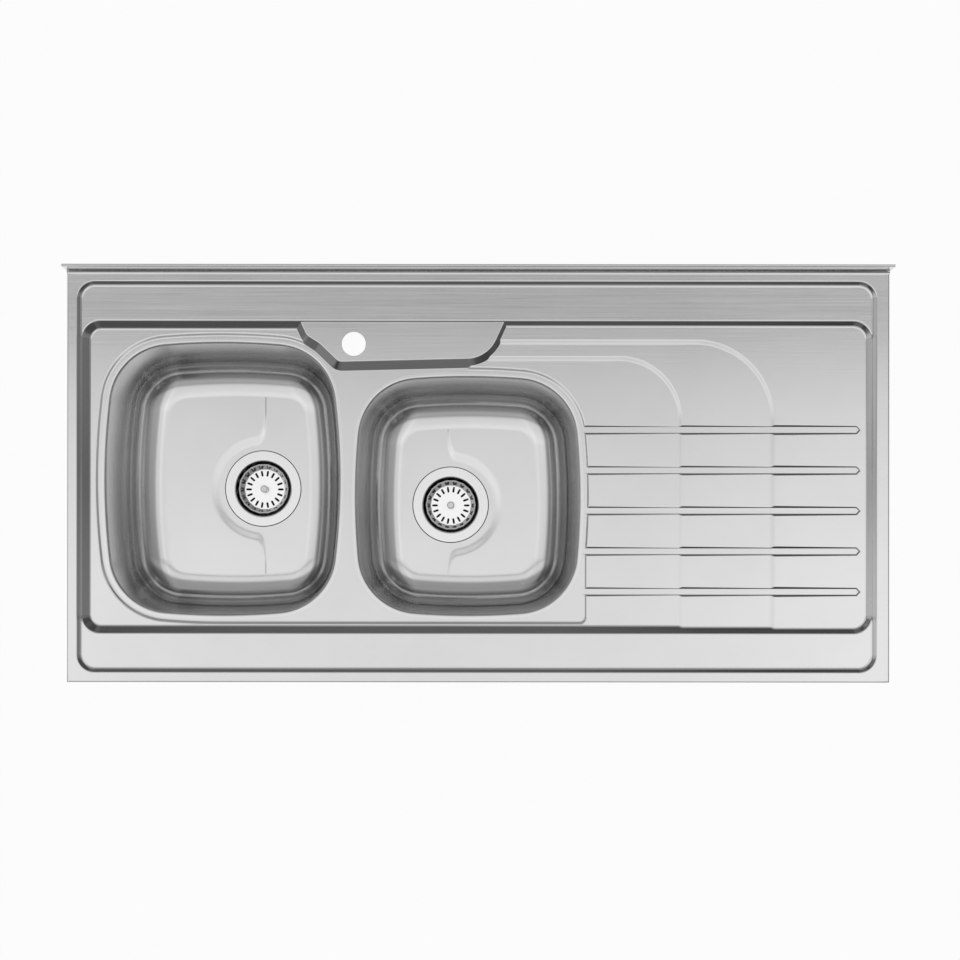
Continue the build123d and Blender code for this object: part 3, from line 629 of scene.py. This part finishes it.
def toned(add, factor, dark, light):
    """A colour between a darker and a lighter one."""
    mix = add("ShaderNodeMix", {"Factor": factor}, data_type="RGBA")
    mix.inputs["A"].default_value = (*dark, 1)
    mix.inputs["B"].default_value = (*light, 1)
    return mix.outputs["Result"]


def noise(add, place, scale, detail, rough):
    """The value of a noise texture."""
    node = add("ShaderNodeTexNoise", {"Vector": place}, Scale=scale, Detail=detail, Roughness=rough)
    return node.outputs["Fac"]


def ranged(add, value, from_span, to_span):
    """A value carried from one span to another."""
    node = add("ShaderNodeMapRange", {"Value": value})
    names = ("From Min", "From Max", "To Min", "To Max")
    for name, number in zip(names, (*from_span, *to_span)):
        node.inputs[name].default_value = number
    return node.outputs["Result"]


def steel(name, colour, rough, span, grain, bump, wear=0.04, shaded_by_height=None):
    """Brushed metal: fine streaks along x and soft cloudy wear.

    The last argument, (z from, z to, share) in metres, paints shade into the colour: the colour falls to that
    share between the heights, for parts that lie in shade.
    """
    material, tree, shader, add = nodes_of(name)
    shader.inputs["Metallic"].default_value = 1.0
    place = add("ShaderNodeTexCoord").outputs["Object"]
    along = add("ShaderNodeMapping", {"Vector": place}, Scale=(grain[0], grain[1], grain[1]))
    streaks = noise(add, along.outputs["Vector"], 1.0, 5.0, 0.65)
    cloud = noise(add, place, 9.0, 4.0, 0.6)
    dark = [c * (1 - wear) for c in colour]
    light = [min(c * (1 + wear), 1) for c in colour]
    tone = multiplied(add, toned(add, streaks, dark, light), ranged(add, cloud, (0.35, 0.65), (0.97, 1.0)))
    # Painted shade: the colour darkens across a band of heights, standing in for the shade on the part there.
    if shaded_by_height:
        height = add("ShaderNodeSeparateXYZ", {"Vector": place}).outputs["Z"]
        tone = multiplied(add, tone, ranged(add, height, shaded_by_height[:2], (1.0, shaded_by_height[2])))
    tree.links.new(tone, shader.inputs["Base Color"])
    roughness = ranged(add, streaks, (0.3, 0.7), (rough - span, rough + span))
    tree.links.new(roughness, shader.inputs["Roughness"])
    relief = add("ShaderNodeBump", {"Height": streaks}, Strength=bump, Distance=0.0002)
    tree.links.new(relief.outputs["Normal"], shader.inputs["Normal"])
    return material


def dull_stuff(name, colour, rough, scale, bump, metallic=0.0):
    """Rubber, plastic, bitumen or plated steel with a fine uneven surface."""
    material, tree, shader, add = nodes_of(name)
    shader.inputs["Metallic"].default_value = metallic
    place = add("ShaderNodeTexCoord").outputs["Object"]
    speckle = noise(add, place, scale, 6.0, 0.6)
    dark = [c * 0.85 for c in colour]
    light = [min(c * 1.12, 1) for c in colour]
    tree.links.new(toned(add, speckle, dark, light), shader.inputs["Base Color"])
    roughness = ranged(add, speckle, (0.0, 1.0), (rough - 0.1, rough + 0.1))
    tree.links.new(roughness, shader.inputs["Roughness"])
    relief = add("ShaderNodeBump", {"Height": speckle}, Strength=bump, Distance=0.0003)
    tree.links.new(relief.outputs["Normal"], shader.inputs["Normal"])
    return material


# Colour, roughness and its span, scale of the streaks along and across x, strength of the bump, wear, and the
# heights and share of painted shade
STEELS = {
    "deck_steel": ((0.66, 0.66, 0.66), 0.13, 0.03, (6.0, 700.0), 0.08),
    "bowl_steel": ((0.70, 0.70, 0.70), 0.17, 0.02, (40.0, 300.0), 0.012, 0.025),
    # Painted shade: the cup's colour falls to 12 % below its flange's top, inside its mouth.
    "cup_steel": ((0.80, 0.80, 0.80), 0.14, 0.04, (60.0, 60.0), 0.04, 0.04, (-0.1380, -0.1395, 0.12)),
    "knob_steel": ((0.62, 0.62, 0.62), 0.20, 0.04, (60.0, 60.0), 0.04),
    # Painted shade: the basket's colour falls to 40 % from just above its floor upwards, so its walls look
    # shaded.
    "basket_steel": ((0.96, 0.96, 0.96), 0.22, 0.05, (80.0, 80.0), 0.06, 0.03, (-0.1588, -0.1565, 0.4)),
    "screw_steel": ((0.60, 0.60, 0.61), 0.35, 0.08, (90.0, 90.0), 0.15),
    "nut_brass": ((0.72, 0.52, 0.22), 0.35, 0.08, (90.0, 90.0), 0.15),
}
# Colour, roughness, scale of the speckle, strength of the bump, metallic
DULL_STUFFS = {
    "waste_plastic": ((0.78, 0.78, 0.76), 0.45, 220.0, 0.08),
    "gasket_rubber": ((0.03, 0.03, 0.03), 0.65, 500.0, 0.2),
    "stopper_rubber": ((0.025, 0.025, 0.025), 0.6, 500.0, 0.2),
    "pad_bitumen": ((0.05, 0.05, 0.055), 0.8, 160.0, 0.6),
    "bracket_zinc": ((0.58, 0.60, 0.62), 0.38, 60.0, 0.12, 1.0),
}
MATERIALS = {name: steel(name, *look) for name, look in STEELS.items()}
MATERIALS |= {name: dull_stuff(name, *look) for name, look in DULL_STUFFS.items()}
# Material of each CAD node, by the ending of its name
SLOTS = {
    "strainer_cup": "cup_steel",
    "flange_gasket": "gasket_rubber",
    "body_gasket": "gasket_rubber",
    "waste_body": "waste_plastic",
    "waste_nut": "nut_brass",
    "waste_screw": "screw_steel",
    "basket": "basket_steel",
    "basket_knob": "knob_steel",
    "stopper": "stopper_rubber",
    "sound_pad": "pad_bitumen",
    "drainboard_pads": "pad_bitumen",
    "bracket": "bracket_zinc",
    "bowl": "bowl_steel",
    "sink_deck": "deck_steel",
}


def dress(piece, slot):
    """Gives a piece its material."""
    piece.data.materials.clear()
    piece.data.materials.append(MATERIALS[slot])


def put(piece, node, slot):
    """Stands a piece in for a CAD node of the sink."""
    dress(piece, slot)
    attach(piece, "sink")
    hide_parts(node)


def make_floor():
    """The plain pale floor close under the outlets, which is seen as white and keeps some of the shadow."""
    half, z = 12.0, -0.232
    corners = [(-half, -half, z), (half, -half, z), (half, half, z), (-half, half, z)]
    mesh = bpy.data.meshes.new("floor")
    mesh.from_pydata(corners, [], [(0, 1, 2, 3)])
    floor = bpy.data.objects.new("floor", mesh)
    bpy.context.scene.collection.objects.link(floor)
    material, tree, shader, add = nodes_of("floor")
    shader.inputs["Base Color"].default_value = (0.85, 0.85, 0.85, 1)
    shader.inputs["Roughness"].default_value = 0.9
    glow = add("ShaderNodeEmission", Color=(1, 1, 1, 1), Strength=1.0)
    path = add("ShaderNodeLightPath").outputs
    seen = path["Is Camera Ray"]
    for ray in ("Is Glossy Ray", "Is Transmission Ray"):
        seen = add("ShaderNodeMath", {0: seen, 1: path[ray]}, operation="MAXIMUM").outputs[0]
    part = add("ShaderNodeMath", {0: seen}, operation="MULTIPLY")
    part.inputs[1].default_value = 0.95
    mix = add("ShaderNodeMixShader", {0: part.outputs[0], 1: shader.outputs[0], 2: glow.outputs[0]})
    tree.links.new(mix.outputs[0], tree.nodes["Material Output"].inputs["Surface"])
    mesh.materials.append(material)


# Greys of the studio's soft boxes: by how far a direction leans along y and along x for each unit of height,
# and by its height; and the share of the plain pale horizon by height
DEPTH_STOPS = (
    (-2.5, 0.9),
    (-1.3, 0.55),
    (-0.88, 0.40),
    (-0.75, 0.85),
    (-0.3, 0.93),
    (-0.05, 1.06),
    (0.0, 1.06),
    (0.08, 0.93),
    (0.135, 0.86),
    (0.155, 0.40),
    (0.187, 0.36),
    (0.208, 0.90),
    (0.5, 0.92),
    (0.62, 0.40),
    (1.4, 0.40),
    (2.5, 1.6),
)
WIDTH_STOPS = (
    (-2.4, 4.0),
    (-1.6, 0.35),
    (-1.2, 0.35),
    (-0.9, 1.0),
    (-0.35, 1.0),
    (-0.28, 1.14),
    (-0.23, 1.14),
    (-0.19, 1.03),
    (0.0, 1.0),
    (0.12, 1.03),
    (0.19, 1.14),
    (0.23, 1.18),
    (0.27, 1.15),
    (0.33, 0.85),
    (0.42, 1.0),
    (0.5, 0.95),
    (0.62, 0.48),
    (1.6, 0.45),
    (2.4, 1.4),
)
HEIGHT_STOPS = ((0.0, 0.08), (0.3, 0.09), (0.4, 0.2), (0.62, 1.0))
HORIZON_STOPS = ((0.06, 1.0), (0.12, 0.0))
HORIZON = 0.9
LEAN_SCALE, HEIGHT_SCALE = 0.2, 0.5


def make_studio():
    """A soft studio in the world's background."""
    world = bpy.data.worlds.new("studio")
    bpy.context.scene.world = world
    world.use_nodes = True
    tree = world.node_tree
    add = adder(tree)
    place = add("ShaderNodeTexCoord").outputs["Generated"]
    toward = add("ShaderNodeSeparateXYZ", {"Vector": place}).outputs
    above = add("ShaderNodeMath", {0: toward["Z"]}, operation="MAXIMUM")
    above.inputs[1].default_value = 0.02

    def lean(axis):
        """How far a direction leans along an axis for each unit of height."""
        return add("ShaderNodeMath", {0: toward[axis], 1: above.outputs[0]}, operation="DIVIDE").outputs[0]

    def greys(source, scale, stops):
        """Grey that follows a value, from stops of (value, grey)."""
        place = add("ShaderNodeMath", {0: source}, operation="MULTIPLY_ADD")
        place.inputs[1].default_value = scale
        place.inputs[2].default_value = 0.5
        ramp = add("ShaderNodeValToRGB", {"Fac": place.outputs[0]})
        elements = ramp.color_ramp.elements
        for k, (value, grey) in enumerate(stops):
            at = 0.5 + scale * value
            stop = elements[k] if k < 2 else elements.new(at)
            stop.position = at
            stop.color = (grey, grey, grey, 1)
        return ramp.outputs["Color"]

    depth = greys(lean("Y"), LEAN_SCALE, DEPTH_STOPS)
    width = greys(lean("X"), LEAN_SCALE, WIDTH_STOPS)
    height = greys(toward["Z"], HEIGHT_SCALE, HEIGHT_STOPS)
    boxes = multiplied(add, multiplied(add, depth, width), height)
    horizon = greys(toward["Z"], HEIGHT_SCALE, HORIZON_STOPS)
    whole = add("ShaderNodeMix", {"Factor": horizon, "A": boxes}, data_type="RGBA")
    whole.inputs["B"].default_value = (HORIZON, HORIZON, HORIZON, 1)
    tree.links.new(whole.outputs["Result"], tree.nodes["Background"].inputs["Color"])


# Camera, in metres: straight above the sink, as in the photograph
CAMERA_X, CAMERA_Y, CAMERA_RISE, CAMERA_TURN = 0.00277, -0.170, 2.55, 0.05
VIEW_WIDTH, VIEW_MIDDLE_Y = 1.3997, -0.00465
SENSOR = 36.0


def make_camera():
    """The camera, whose view is as wide as said at the height of the rim."""
    camera = bpy.data.cameras.new("camera")
    view = bpy.data.objects.new("camera", camera)
    bpy.context.scene.collection.objects.link(view)
    view.location = (CAMERA_X, CAMERA_Y, RIM_Z / 1000.0 + CAMERA_RISE)
    view.rotation_euler = (0, 0, math.radians(CAMERA_TURN))
    camera.sensor_width = SENSOR
    camera.lens = SENSOR * CAMERA_RISE / VIEW_WIDTH
    camera.shift_y = (VIEW_MIDDLE_Y - CAMERA_Y) / VIEW_WIDTH
    camera.clip_end = 100.0
    bpy.context.scene.camera = view


put(make_deck(), "sink_deck", "deck_steel")
put(make_bowl("large_bowl_sheet", LARGE), "large_bowl", "bowl_steel")
put(make_bowl("small_bowl_sheet", SMALL), "small_bowl", "bowl_steel")

for node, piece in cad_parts.items():
    ending = next(e for e in SLOTS if node.endswith(e))
    dress(piece, SLOTS[ending])
    piece.data.shade_smooth()
    piece.data.set_sharp_from_angle(angle=math.radians(30))

make_floor()
make_studio()
make_camera()
bpy.context.scene.view_settings.view_transform = "Standard"

bpy.context.view_layer.update()
